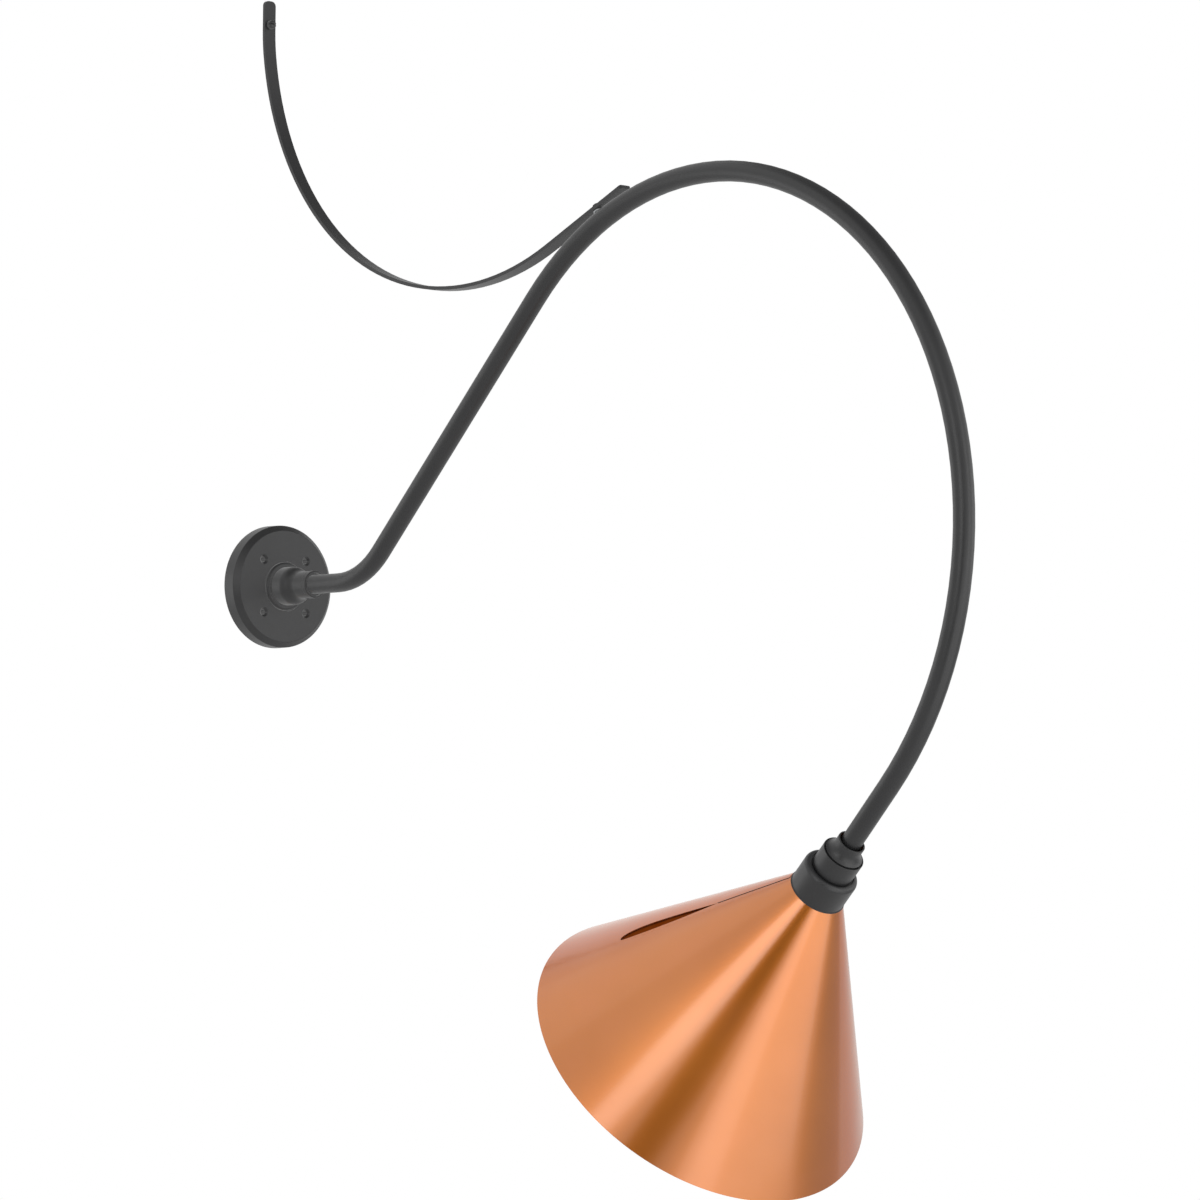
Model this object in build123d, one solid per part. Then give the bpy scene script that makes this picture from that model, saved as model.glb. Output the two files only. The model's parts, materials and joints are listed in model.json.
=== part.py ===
from build123d import *
import os
from math import cos, radians, sin, sqrt, tan

# Gooseneck wall light with a copper cone shade, a cast wall plate and a flat support strap.
# Millimetres. The wall is the plane Y = 0, outward is -Y, up is +Z, and the arm lies in the plane X = 0.

# Wall plate
plate_diameter = 114.3
plate_depth = 17.5
plate_side_height = 12.9
plate_side_draft = 0.2
plate_bevel_inset = 5.0
plate_face_thickness = 4.5
plate_rim_width = 7.6
plate_edge_round = 0.8
screw_circle = 69.0
screw_count = 4
screw_hole_diameter = 5.2
screw_sink_diameter = 9.0
screw_boss_diameter = 9.4
gasket_width = 3.0
gasket_depth = 2.0

# Hub of the wall plate
bead_diameter = 45.0
bead_height = 2.7
bead_round = 2.4
bead_groove_width = 0.9
bead_groove_depth = 1.2
hub_diameter = 35.5
hub_length = 11.0
hub_shoulder_length = 14.0
neck_diameter = 25.4
neck_length = 13.4
chamber_diameter = 22.0
tube_depth_in_hub = 30.0
collar_length = 5.6
collar_recess_depth = 3.0
collar_recess_gap = 1.8
collar_round = 1.0
set_screw_diameter = 5.0
set_screw_back = 6.0
set_screw_socket = 2.5
set_screw_sink = 0.4

# Gooseneck arm
tube_diameter = 17.6
tube_wall = 2.3
first_run = 97.9
first_bend_radius = 89.1
first_bend_angle = 44.33
second_run = 302.4
big_bend_radius = 304.8
big_bend_angle = 178.08
end_run = 72.5

# Support strap
strap_width = 12.7
strap_thickness = 3.2
strap_top = 550.2
strap_leg_end = 522.0
strap_bend_ratio = 0.03
strap_slope = 24.31
strap_swing = 1.62
strap_tail_before = 65.0
strap_tail_after = 38.0
strap_top_round = 4.5
strap_tail_round = 2.0
strap_screw_diameter = 4.8
strap_screw_head = 8.0
strap_screw_head_height = 3.2
wall_screw_below_top = 22.5
wall_screw_head_height = 5.6
wall_screw_reach = 4.6
wall_screw_point = 1.0
wall_screw_neck = 4.2
rivet_nut_diameter = 7.0
rivet_nut_flange = 9.0
rivet_nut_flange_thickness = 0.8
rivet_nut_length = 5.5

# Leads in the arm, and the terminal block behind the hub
lead_diameter = 2.4
lead_pitch = 3.2
lead_bend_radius = 12.0
terminal_pitch = 7.5
terminal_port_depth = 6.0
block_width = 40.0
block_height = 15.0
block_depth = 10.0
block_round = 1.5
clamp_hole_depth = 2.5
block_screw_spacing = 31.0
block_screw_diameter = 3.0
block_screw_head = 5.4
block_screw_head_height = 1.8
earth_screw_inset = 12.7
earth_screw_diameter = 4.0
earth_screw_head = 8.0
earth_screw_head_height = 2.6
screw_bite = 3.0

# Ball swivel at the arm's end, with heights along the head's axis from the ball's centre
ball_diameter = 24.0
tube_depth_in_ball = 10.0
head_rest_tilt = 3.44
head_lean = 3.39
lead_bush_diameter = 10.6
lip_rise = 12.7
lip_diameter = 23.8
lip_bore = 21.4
lip_round = 0.3
throat_diameter = 20.2
cove_rise = 7.6
bell_edge_diameter = 32.8
bell_edge_drop = 0.4
bell_drop = 2.8
parting_gap = 0.6
skirt_length = 4.8
skirt_wall = 2.9
sleeve_diameter = 36.0
sleeve_rim_drop = 1.4
sleeve_rim_wall = 0.6
sleeve_edge = 0.2
seat_gap = 0.4
seat_thickness = 3.9
spring_height = 1.8
spring_thickness = 0.8
spring_width = 6.5
ledge_thickness = 10.8
lead_bore = 11.0
spigot_diameter = 22.0
spigot_past_nut = 0.8
retainer_diameter = 41.0
retainer_thickness = 2.0
lock_nut_flats = 26.0
lock_nut_height = 4.5

# Socket cup
cup_diameter = 47.7
cup_roof = 3.0
cup_wall = 2.4
cup_round = 4.2
cup_length = 25.24
cup_step = 0.6
bush_wall = 1.4
bush_recess = 1.2
bush_flange = 1.2
bush_flange_width = 1.6
carrier_drop = 1.2
carrier_thickness = 2.0
carrier_hole = 12.0
lock_ring_thickness = 3.0
lock_ring_width = 3.0

# Cone shade, with slant lengths from the cone's own tip
shade_rim_diameter = 304.8
shade_half_angle = 31.95
shade_thickness = 0.8
shade_top_diameter = 38.8
shade_gasket_thickness = 1.2
shade_gasket_overhang = 0.7
shade_ring_height = 7.0
shade_ring_land = 2.3
slot_angle = -132.1
slot_start = 116.4
slot_length = 95.0
slot_drop = 3.0
slot_belly = 3.4
slot_straight = 70.0
slot_rise = 6.6
slot_shoulder = 86.5
slot_shoulder_rise = 4.4
slot_cut_depth = 5.0

# Lamp holder and bulb
holder_diameter = 37.0
holder_length = 31.0
holder_floor = 7.0
holder_round = 1.4
pocket_depth = 4.0
pocket_diameter = 26.0
shell_diameter = 27.6
shell_wall = 0.5
shell_lip = 1.0
holder_screw_diameter = 2.6
holder_screw_head = 3.6
holder_screw_head_height = 1.6
holder_screw_sink = 2.4
terminal_screw_spacing = 16.0
terminal_screw_diameter = 3.0
terminal_screw_head = 5.6
terminal_screw_head_height = 1.8
terminal_screw_length = 2.4
contact_diameter = 8.0
contact_thickness = 1.0
thread_gap = 0.35
bulb_tip_diameter = 7.0
bulb_tip_height = 2.0
bulb_insulator_height = 3.0
bulb_base_wall = 0.5
bulb_spigot_length = 7.0
bulb_collar_diameter = 30.0
bulb_collar_gap = 1.0
bulb_housing_length = 42.0
bulb_diameter = 60.0
bulb_dome_rise = 12.0
bulb_wall = 1.3
bulb_housing_floor = 2.6
bulb_housing_wall = 2.6
bulb_rim_wall = 3.9

# Slotted screw heads, as shares of a head's width and height
head_round_share = 0.45
slot_width_share = 0.16
slot_depth_share = 0.4

# Clearances
fit_gap = 0.05
ball_gap = 0.05
turn_gap = 0.05
washer_gap = 0.3
lead_gap = 0.15

# How far a cut runs past a face, and how near counts as the same place
overrun = 1.0
same_place = 1e-3

# Radii and places that follow from the sizes above
plate_radius = plate_diameter / 2
plate_side_radius = plate_radius - plate_side_draft
plate_face_radius = plate_side_radius - plate_bevel_inset
cavity_radius = plate_radius - plate_rim_width
cavity_depth = plate_depth - plate_face_thickness
gasket_radius = (cavity_radius + plate_radius) / 2
earth_screw_place = cavity_radius - earth_screw_inset
hub_base = plate_depth + bead_height
hub_end = hub_base + hub_length
neck_start = hub_end + hub_shoulder_length
neck_end = neck_start + neck_length
neck_radius = neck_diameter / 2
tube_radius = tube_diameter / 2
tube_bore = tube_radius - tube_wall
tube_start = neck_end - tube_depth_in_hub
ball_radius = ball_diameter / 2
tube_end = tube_depth_in_ball - ball_radius
seat_radius = ball_radius + ball_gap
bell_edge = bell_edge_diameter / 2
skirt_radius = seat_radius + skirt_wall
skirt_end = bell_drop + skirt_length
sleeve_radius = sleeve_diameter / 2
sleeve_bore = skirt_radius + fit_gap
sleeve_top = bell_drop + parting_gap
seat_top = skirt_end + seat_gap
spring_top = seat_top + seat_thickness
ledge_top = spring_top + spring_height
sleeve_end = ledge_top + ledge_thickness
nut_top = sleeve_end + retainer_thickness
spigot_end = nut_top + lock_nut_height + spigot_past_nut
flange_top = sleeve_end - washer_gap - bush_flange
cup_top = flange_top - cup_roof
cup_radius = cup_diameter / 2
cup_bore = cup_radius - cup_wall
cup_hole = sleeve_radius + turn_gap + bush_wall
cup_bottom = cup_top + cup_length
carrier_top = spigot_end + carrier_drop
carrier_bottom = carrier_top + carrier_thickness
carrier_radius = cup_bore + cup_step - fit_gap
holder_radius = holder_diameter / 2
holder_mouth = carrier_bottom + holder_length
holder_head_seat = holder_mouth - holder_screw_sink
shell_floor = carrier_bottom + holder_floor
shell_radius = shell_diameter / 2
base_radius = shell_radius - shell_wall - thread_gap
slope = radians(shade_half_angle)
cup_tip = cup_bottom - cup_radius / tan(slope)
shade_tip = cup_tip + shade_gasket_thickness / sin(slope)
shade_inner_tip = shade_tip + shade_thickness / sin(slope)
rim_radius = shade_rim_diameter / 2


def arm_point(out, up, across=0.0):
    """A point by its distance from the wall, its height and its place across the arm's plane."""
    return Vector(across, -out, up)


def turned(*edges):
    """A solid of revolution about local Z; the profile's x is the radius and its y the height."""
    return revolve(Plane.XZ * make_face(edges), Axis.Z)


def turned_polygon(*corners):
    """A solid of revolution whose profile has straight sides."""
    return turned(Polyline(*corners, close=True))


def rod(diameter, bottom, top, x=0.0, y=0.0):
    """A round rod along local Z."""
    return Pos(x, y, (bottom + top) / 2) * Cylinder(diameter / 2, top - bottom)


def ring(outer, inner, bottom, top):
    """A plain ring about local Z, by its radii."""
    return turned_polygon((inner, bottom), (outer, bottom), (outer, top), (inner, top))


def rounded(solid, radius, height, amount):
    """The turned solid with its circular edges at one radius and height rounded."""
    edges = [
        e for e in solid.edges().filter_by(GeomType.CIRCLE)
        if abs(e.radius - radius) < same_place and abs(e.arc_center.Z - height) < same_place
    ]
    return fillet(edges, amount)


def slotted(head, head_height, diameter, length):
    """A round-headed slotted screw: its head rises from local Z = 0 and its shank goes down."""
    top = rod(head, 0, head_height)
    top = rounded(top, head / 2, head_height, head_round_share * head_height)
    slot_depth = slot_depth_share * head_height
    slot = Pos(0, 0, head_height - slot_depth / 2) * Box(2 * head, slot_width_share * head, slot_depth)
    return top + rod(diameter, -length, 0) - slot


# Places of the arm's bends in the plane X = 0
rise = radians(first_bend_angle)
fall = rise - radians(big_bend_angle)
first_centre = arm_point(first_run, first_bend_radius)
second_start = first_centre + arm_point(first_bend_radius * sin(rise), -first_bend_radius * cos(rise))
second_end = second_start + arm_point(second_run * cos(rise), second_run * sin(rise))
big_centre = second_end + arm_point(big_bend_radius * sin(rise), -big_bend_radius * cos(rise))
end_direction = arm_point(cos(fall), sin(fall))


def on_first_bend(angle):
    return first_centre + arm_point(first_bend_radius * sin(angle), -first_bend_radius * cos(angle))


def on_big_bend(angle, out_by=0.0):
    """A point of the big bend where the arm's slope is the given angle, moved outwards."""
    radius = big_bend_radius + out_by
    return big_centre + arm_point(-radius * sin(angle), radius * cos(angle))


ball_centre = on_big_bend(fall) + end_direction * end_run
head_angle = fall - radians(head_rest_tilt)
lean = radians(head_lean)
head_axis = arm_point(cos(head_angle) * cos(lean), sin(head_angle) * cos(lean), sin(lean))
head_across = (Vector(1, 0, 0) - head_axis * head_axis.X).normalized()

plate_frame = Plane(origin=(0, 0, 0), x_dir=(1, 0, 0), z_dir=(0, -1, 0))
arm_end_frame = Plane(origin=ball_centre, x_dir=(1, 0, 0), z_dir=end_direction)
head_frame = Plane(origin=ball_centre, x_dir=head_across, z_dir=head_axis)


def bent_route(across, start_edges, start, end_length):
    """The arm's route as a wire, moved across the arm's plane."""
    side = Vector(across, 0, 0)
    bend_out = on_big_bend(fall)
    edges = start_edges + [
        Line(start, arm_point(first_run, 0) + side),
        ThreePointArc(arm_point(first_run, 0) + side, on_first_bend(rise / 2) + side, second_start + side),
        Line(second_start + side, second_end + side),
        ThreePointArc(second_end + side, on_big_bend((rise + fall) / 2) + side, bend_out + side),
        Line(bend_out + side, bend_out + end_direction * end_length + side),
    ]
    return Wire(edges)


def swept_rod(route, diameter):
    return sweep(Plane(origin=route @ 0, z_dir=route % 0) * Circle(diameter / 2), path=route)


# The strap's line: down the wall, a bow of two tangent arcs, then straight along the arm's tangent
strap_angle = radians(strap_slope)
strap_run = arm_point(cos(strap_angle), sin(strap_angle))
strap_normal = arm_point(-sin(strap_angle), cos(strap_angle))
strap_seat = on_big_bend(strap_angle, tube_radius + rivet_nut_flange_thickness)
strap_middle = strap_seat + strap_normal * (strap_thickness / 2)
wall_screw_height = strap_top - wall_screw_below_top
strap_screw_frame = Plane(origin=strap_seat, x_dir=(1, 0, 0), z_dir=strap_normal)
wall_screw_frame = Plane(origin=arm_point(0, wall_screw_height), x_dir=(1, 0, 0), z_dir=(0, -1, 0))
swing_axis = Axis(strap_seat, strap_normal)


def strap_route():
    leg_top = arm_point(strap_thickness / 2, strap_top)
    start = arm_point(strap_thickness / 2, strap_leg_end)
    down = Vector(0, 0, -1)
    end = strap_middle - strap_run * strap_tail_before
    tail = strap_middle + strap_run * strap_tail_after
    # The two arcs meet where handles of the given ratio along both directions add up to their span
    span = end - start
    a = 2 * strap_bend_ratio * (1 - down.dot(strap_run))
    b = 2 * (strap_bend_ratio * span.dot(down) + span.dot(strap_run))
    handle = (-b + sqrt(b * b + 4 * a * span.dot(span))) / (2 * a)
    first = start + down * (strap_bend_ratio * handle)
    second = end - strap_run * handle
    meet = first + (second - first) * (strap_bend_ratio / (1 + strap_bend_ratio))
    wall_bow = TangentArc(start, meet, tangent=down)
    main_bow = TangentArc(meet, end, tangent=(second - first).normalized())
    print("strap bow radii %.1f and %.1f mm" % (wall_bow.radius, main_bow.radius))
    return Wire([Line(leg_top, start), wall_bow, main_bow, Line(end, tail)])


def wall_plate():
    bead = bead_diameter / 2
    groove = bead + bead_groove_width
    groove_floor = plate_depth - bead_groove_depth
    hub = hub_diameter / 2
    tube_hole = tube_radius + fit_gap
    chamber = chamber_diameter / 2
    # The shoulder is an S of two equal arcs from the hub to the neck
    waist = ((hub + neck_radius) / 2, (hub_end + neck_start) / 2)
    body = turned(
        Polyline(
            (neck_radius, neck_start), (neck_radius, neck_end), (tube_hole, neck_end),
            (tube_hole, tube_start), (chamber, tube_start), (chamber, cavity_depth),
            (cavity_radius, cavity_depth), (cavity_radius, 0), (plate_radius, 0),
            (plate_side_radius, plate_side_height), (plate_face_radius, plate_depth), (groove, plate_depth),
            (groove, groove_floor), (bead, groove_floor), (bead, hub_base), (hub, hub_base), (hub, hub_end),
        ),
        TangentArc((hub, hub_end), waist, tangent=(0, 1)),
        TangentArc((neck_radius, neck_start), waist, tangent=(0, -1)),
    )
    body = rounded(body, plate_side_radius, plate_side_height, plate_edge_round)
    body = rounded(body, plate_face_radius, plate_depth, plate_edge_round)
    body = rounded(body, bead, hub_base, bead_round)
    sink = screw_sink_diameter / 2
    hole = screw_hole_diameter / 2
    boss = rod(screw_boss_diameter, 0, cavity_depth + plate_face_thickness / 2)
    screw_hole = turned_polygon(
        (0, -overrun), (hole, -overrun), (hole, plate_depth - (sink - hole)), (sink, plate_depth),
        (sink, plate_depth + overrun), (0, plate_depth + overrun),
    )
    screw_places = PolarLocations(screw_circle / 2, screw_count, 180 / screw_count)
    body = body + screw_places * boss - screw_places * screw_hole
    half_gasket = gasket_width / 2 + fit_gap
    body -= ring(gasket_radius + half_gasket, gasket_radius - half_gasket, -overrun, gasket_depth)
    body -= set_screw_blank(fit_gap, neck_radius + overrun)
    bite_start = cavity_depth - overrun
    bite_end = cavity_depth + screw_bite
    for x in (-block_screw_spacing / 2, block_screw_spacing / 2):
        body -= rod(block_screw_diameter, bite_start, bite_end, x)
    body -= rod(earth_screw_diameter, bite_start, bite_end, 0, -earth_screw_place)
    return plate_frame * body


def set_screw_blank(gap, outer):
    """The hub's set screw as a plain rod, from the tube out to a radius below the arm."""
    blank = rod(set_screw_diameter + 2 * gap, tube_radius + fit_gap, outer)
    return Pos(0, 0, neck_end - set_screw_back) * Rot(90, 0, 0) * blank


def hub_set_screw():
    end = neck_radius - set_screw_sink
    socket = extrude(RegularPolygon(set_screw_socket / 2, 6, major_radius=False), set_screw_socket)
    socket = Rot(90, 0, 0) * Pos(0, 0, end - set_screw_socket) * socket
    return plate_frame * (set_screw_blank(0, end) - Pos(0, 0, neck_end - set_screw_back) * socket)


def wall_gasket():
    outer = gasket_radius + gasket_width / 2
    return plate_frame * ring(outer, outer - gasket_width, 0, gasket_depth)


def arm_lock_collar():
    end = neck_end + collar_length
    bore = tube_radius + fit_gap
    recess = tube_radius + collar_recess_gap
    body = turned_polygon(
        (bore, neck_end), (neck_radius, neck_end), (neck_radius, end), (recess, end),
        (recess, end - collar_recess_depth), (bore, end - collar_recess_depth),
    )
    body = rounded(body, neck_radius, end, collar_round)
    body = rounded(body, neck_radius, neck_end, collar_round / 2)
    return plate_frame * body


def gooseneck_arm():
    route = bent_route(0, [], arm_point(tube_start, 0), end_run + tube_end)
    tube = swept_rod(route, tube_diameter) - swept_rod(route, 2 * tube_bore)
    nut_hole = rod(rivet_nut_diameter + 2 * fit_gap, -tube_radius - rivet_nut_flange_thickness, 0)
    return tube - strap_screw_frame * nut_hole


def terminal_block():
    back = cavity_depth - block_depth
    body = Pos(0, 0, back + block_depth / 2) * Box(block_width, block_height, block_depth)
    body = fillet(body.edges().filter_by(Axis.Z), block_round)
    for place in (-1, 0, 1):
        port = rod(lead_diameter + 2 * lead_gap, cavity_depth - terminal_port_depth, cavity_depth + overrun)
        clamp = rod(lead_diameter + 2 * lead_gap, back - overrun, back + clamp_hole_depth)
        body -= Pos(place * terminal_pitch, 0, 0) * (port + clamp)
    for x in (-block_screw_spacing / 2, block_screw_spacing / 2):
        body -= rod(block_screw_diameter + 2 * fit_gap, back - overrun, cavity_depth + overrun, x)
    return plate_frame * body


def block_screws():
    back = cavity_depth - block_depth
    length = block_depth + screw_bite
    screw = slotted(block_screw_head, block_screw_head_height, block_screw_diameter, length)
    screw = Pos(0, 0, back) * Rot(180, 0, 0) * screw
    half = block_screw_spacing / 2
    return plate_frame * Compound([Pos(x, 0, 0) * screw for x in (-half, half)])


def earth_screw():
    screw = slotted(earth_screw_head, earth_screw_head_height, earth_screw_diameter, screw_bite)
    return plate_frame * Pos(0, -earth_screw_place, cavity_depth) * Rot(180, 0, 0) * screw


def arm_lead(place):
    """One insulated lead from its port in the terminal block, through the arm, to the bush in the ball."""
    near, far = place * terminal_pitch, place * lead_pitch
    shift = abs(near - far)
    port = cavity_depth - terminal_port_depth
    start = arm_point(port, 0, near)
    straight = arm_point(cavity_depth, 0, near)
    edges = [Line(start, straight)]
    if place:
        # An S of two equal arcs brings the outer leads in to the tube
        turn_cos = 1 - shift / (2 * lead_bend_radius)
        length = 2 * lead_bend_radius * sqrt(1 - turn_cos * turn_cos)
        middle = straight + Vector(far - near, -length, 0) / 2
        end = straight + Vector(far - near, -length, 0)
        outward = Vector(0, -1, 0)
        edges += [TangentArc(straight, middle, tangent=outward)]
        edges += [TangentArc(end, middle, tangent=outward * -1)]
        straight = end
    route = bent_route(far, edges, straight, end_run + lead_bush_end())
    return swept_rod(route, lead_diameter)


def lead_bush_end():
    """How far past the ball's centre the bush stays inside the ball."""
    return sqrt(ball_radius ** 2 - (lead_bush_diameter / 2) ** 2) - 2 * ball_gap - fit_gap


def support_strap():
    route = strap_route()
    across_route = Plane(origin=route @ 0, x_dir=(1, 0, 0), z_dir=route % 0)
    strap = sweep(across_route * Rectangle(strap_width, strap_thickness), path=route)
    tail = strap_middle + strap_run * strap_tail_after
    top = arm_point(strap_thickness / 2, strap_top)
    for place, amount in ((top, strap_top_round), (tail, strap_tail_round)):
        corners = [
            e for e in strap.edges()
            if abs(e.length - strap_thickness) < same_place and (e.center() - place).length < strap_width
        ]
        strap = fillet(corners, amount)
    hole = strap_screw_diameter + 2 * fit_gap
    strap -= strap_screw_frame * rod(hole, -overrun, strap_thickness + overrun)
    strap -= wall_screw_frame * rod(hole, -overrun, strap_thickness + overrun)
    return strap.rotate(swing_axis, strap_swing)


def strap_wall_screw():
    """A pan screw whose thinner neck passes the strap and whose thread starts at the wall."""
    thread = strap_screw_diameter / 2
    point = wall_screw_reach + wall_screw_point
    screw = slotted(strap_screw_head, wall_screw_head_height, wall_screw_neck, strap_thickness)
    screw = Pos(0, 0, strap_thickness) * screw
    screw += turned_polygon(
        (0, 0), (thread, 0), (thread, -wall_screw_reach), (thread - wall_screw_point, -point), (0, -point),
    )
    return (wall_screw_frame * screw).rotate(swing_axis, strap_swing)


def strap_arm_screw():
    length = strap_thickness + rivet_nut_flange_thickness + rivet_nut_length
    screw = slotted(strap_screw_head, strap_screw_head_height, strap_screw_diameter, length)
    return strap_screw_frame * Pos(0, 0, strap_thickness) * screw


def arm_rivet_nut():
    bore = strap_screw_diameter / 2 + fit_gap
    bottom = -rivet_nut_flange_thickness - rivet_nut_length
    barrel = rivet_nut_diameter / 2
    flange = rivet_nut_flange / 2
    return strap_screw_frame * turned_polygon(
        (bore, bottom), (barrel, bottom), (barrel, -rivet_nut_flange_thickness),
        (flange, -rivet_nut_flange_thickness), (flange, 0), (bore, 0),
    )


def swivel_ball():
    body = Sphere(ball_radius)
    body -= rod(tube_diameter + 2 * fit_gap, -2 * ball_radius, tube_end)
    body -= rod(lead_bush_diameter + 2 * fit_gap, -2 * ball_radius, 2 * ball_radius)
    return arm_end_frame * body


def lead_bush():
    body = rod(lead_bush_diameter, tube_end, lead_bush_end())
    for place in (-1, 0, 1):
        body -= rod(lead_diameter + 2 * lead_gap, tube_end - overrun, ball_radius, place * lead_pitch)
    return arm_end_frame * body


def on_seat(height_share, low, high):
    """A point of the ball's seat in a profile, at a share of the way between two heights."""
    height = low + (high - low) * height_share
    return (sqrt(seat_radius ** 2 - height ** 2), height)


def swivel_bell():
    lip = lip_diameter / 2
    throat = throat_diameter / 2
    throat_rise = sqrt(seat_radius ** 2 - throat ** 2)
    body = turned(
        Polyline((throat, -throat_rise), (lip_bore / 2, -lip_rise), (lip, -lip_rise), (lip, -cove_rise)),
        TangentArc((lip, -cove_rise), (bell_edge, bell_edge_drop), tangent=(0, 1)),
        Polyline(
            (bell_edge, bell_edge_drop), (bell_edge, bell_drop), (skirt_radius, bell_drop),
            (skirt_radius, skirt_end), (seat_radius, skirt_end), (seat_radius, 0),
        ),
        ThreePointArc((seat_radius, 0), on_seat(0.5, 0, -throat_rise), (throat, -throat_rise)),
    )
    return head_frame * rounded(body, lip, -lip_rise, lip_round)


def swivel_sleeve():
    lead = lead_bore / 2
    spigot = spigot_diameter / 2
    rim = sleeve_radius - sleeve_rim_wall
    body = turned_polygon(
        (sleeve_bore, sleeve_top), (rim, sleeve_top), (rim, sleeve_rim_drop),
        (sleeve_radius, sleeve_rim_drop), (sleeve_radius, sleeve_end), (spigot, sleeve_end),
        (spigot, spigot_end), (lead, spigot_end), (lead, ledge_top), (sleeve_bore, ledge_top),
    )
    return head_frame * rounded(body, sleeve_radius, sleeve_rim_drop, sleeve_edge)


def ball_seat():
    lead = lead_bore / 2
    low = sqrt(seat_radius ** 2 - lead ** 2)
    outer = sleeve_bore - fit_gap
    top = on_seat(0, seat_top, low)
    return head_frame * turned(
        ThreePointArc(top, on_seat(0.5, seat_top, low), (lead, low)),
        Polyline((lead, low), (lead, spring_top), (outer, spring_top), (outer, seat_top), top),
    )


def seat_spring():
    outer = sleeve_bore - fit_gap
    inner = outer - spring_width
    return head_frame * turned_polygon(
        (inner, spring_top), (inner, spring_top + spring_thickness), (outer, ledge_top),
        (outer, ledge_top - spring_thickness),
    )


def retaining_washer():
    bore = spigot_diameter / 2 + fit_gap
    return head_frame * ring(retainer_diameter / 2, bore, sleeve_end, nut_top)


def sleeve_lock_nut():
    body = extrude(RegularPolygon(lock_nut_flats / 2, 6, major_radius=False), lock_nut_height)
    body -= rod(spigot_diameter + 2 * fit_gap, -overrun, lock_nut_height + overrun)
    return head_frame * Pos(0, 0, nut_top) * body


def socket_cup():
    lower_bore = cup_bore + cup_step
    body = turned_polygon(
        (cup_hole, cup_top), (cup_radius, cup_top), (cup_radius, cup_bottom),
        (lower_bore, cup_tip + lower_bore / tan(slope)), (lower_bore, carrier_top), (cup_bore, carrier_top),
        (cup_bore, flange_top), (cup_hole, flange_top),
    )
    return head_frame * rounded(body, cup_radius, cup_top, cup_round)


def turn_bush():
    bore = sleeve_radius + turn_gap
    outer = cup_hole - fit_gap
    flange = outer + bush_flange_width
    return head_frame * turned_polygon(
        (bore, cup_top + bush_recess), (outer, cup_top + bush_recess), (outer, flange_top),
        (flange, flange_top), (flange, flange_top + bush_flange), (bore, flange_top + bush_flange),
    )


def holder_screw_places():
    middle = (shell_radius + holder_radius) / 2
    return [Pos(0, middle, 0), Pos(0, -middle, 0)]


def carrier_plate():
    body = ring(carrier_radius, carrier_hole / 2, carrier_top, carrier_bottom)
    hole = rod(holder_screw_diameter + 2 * fit_gap, carrier_top - overrun, carrier_bottom + overrun)
    for place in holder_screw_places():
        body -= place * hole
    return head_frame * body


def carrier_lock_ring():
    end = carrier_bottom + lock_ring_thickness
    return head_frame * ring(carrier_radius, carrier_radius - lock_ring_width, carrier_bottom, end)


def lamp_holder():
    pocket_floor = carrier_bottom + pocket_depth
    body = rod(holder_diameter, carrier_bottom, holder_mouth)
    body = rounded(body, holder_radius, holder_mouth, holder_round)
    body -= rod(pocket_diameter, carrier_bottom - overrun, pocket_floor)
    body -= rod(shell_diameter, shell_floor, holder_mouth + overrun)
    screw_hole = rod(holder_screw_diameter + 2 * fit_gap, carrier_bottom - overrun, holder_mouth + overrun)
    screw_hole += rod(holder_screw_head + 2 * fit_gap, holder_head_seat, holder_mouth + overrun)
    for place in holder_screw_places():
        body -= place * screw_hole
    terminal_end = pocket_floor + terminal_screw_length
    for x in (-terminal_screw_spacing / 2, terminal_screw_spacing / 2):
        body -= rod(terminal_screw_diameter, pocket_floor - overrun, terminal_end, x)
    return head_frame * body


def holder_screws():
    length = holder_head_seat - carrier_top
    screw = slotted(holder_screw_head, holder_screw_head_height, holder_screw_diameter, length)
    screw = Pos(0, 0, holder_head_seat) * screw
    return head_frame * Compound([place * screw for place in holder_screw_places()])


def holder_terminals():
    seat = carrier_bottom + pocket_depth
    head, head_height = terminal_screw_head, terminal_screw_head_height
    screw = slotted(head, head_height, terminal_screw_diameter, terminal_screw_length)
    screw = Pos(0, 0, seat) * Rot(180, 0, 0) * screw
    half = terminal_screw_spacing / 2
    return head_frame * Compound([Pos(x, 0, 0) * screw for x in (-half, half)])


def screw_shell():
    floor = shell_floor + contact_thickness
    return head_frame * ring(shell_radius, shell_radius - shell_wall, floor, holder_mouth - shell_lip)


def centre_contact():
    return head_frame * rod(contact_diameter, shell_floor, shell_floor + contact_thickness)


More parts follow.
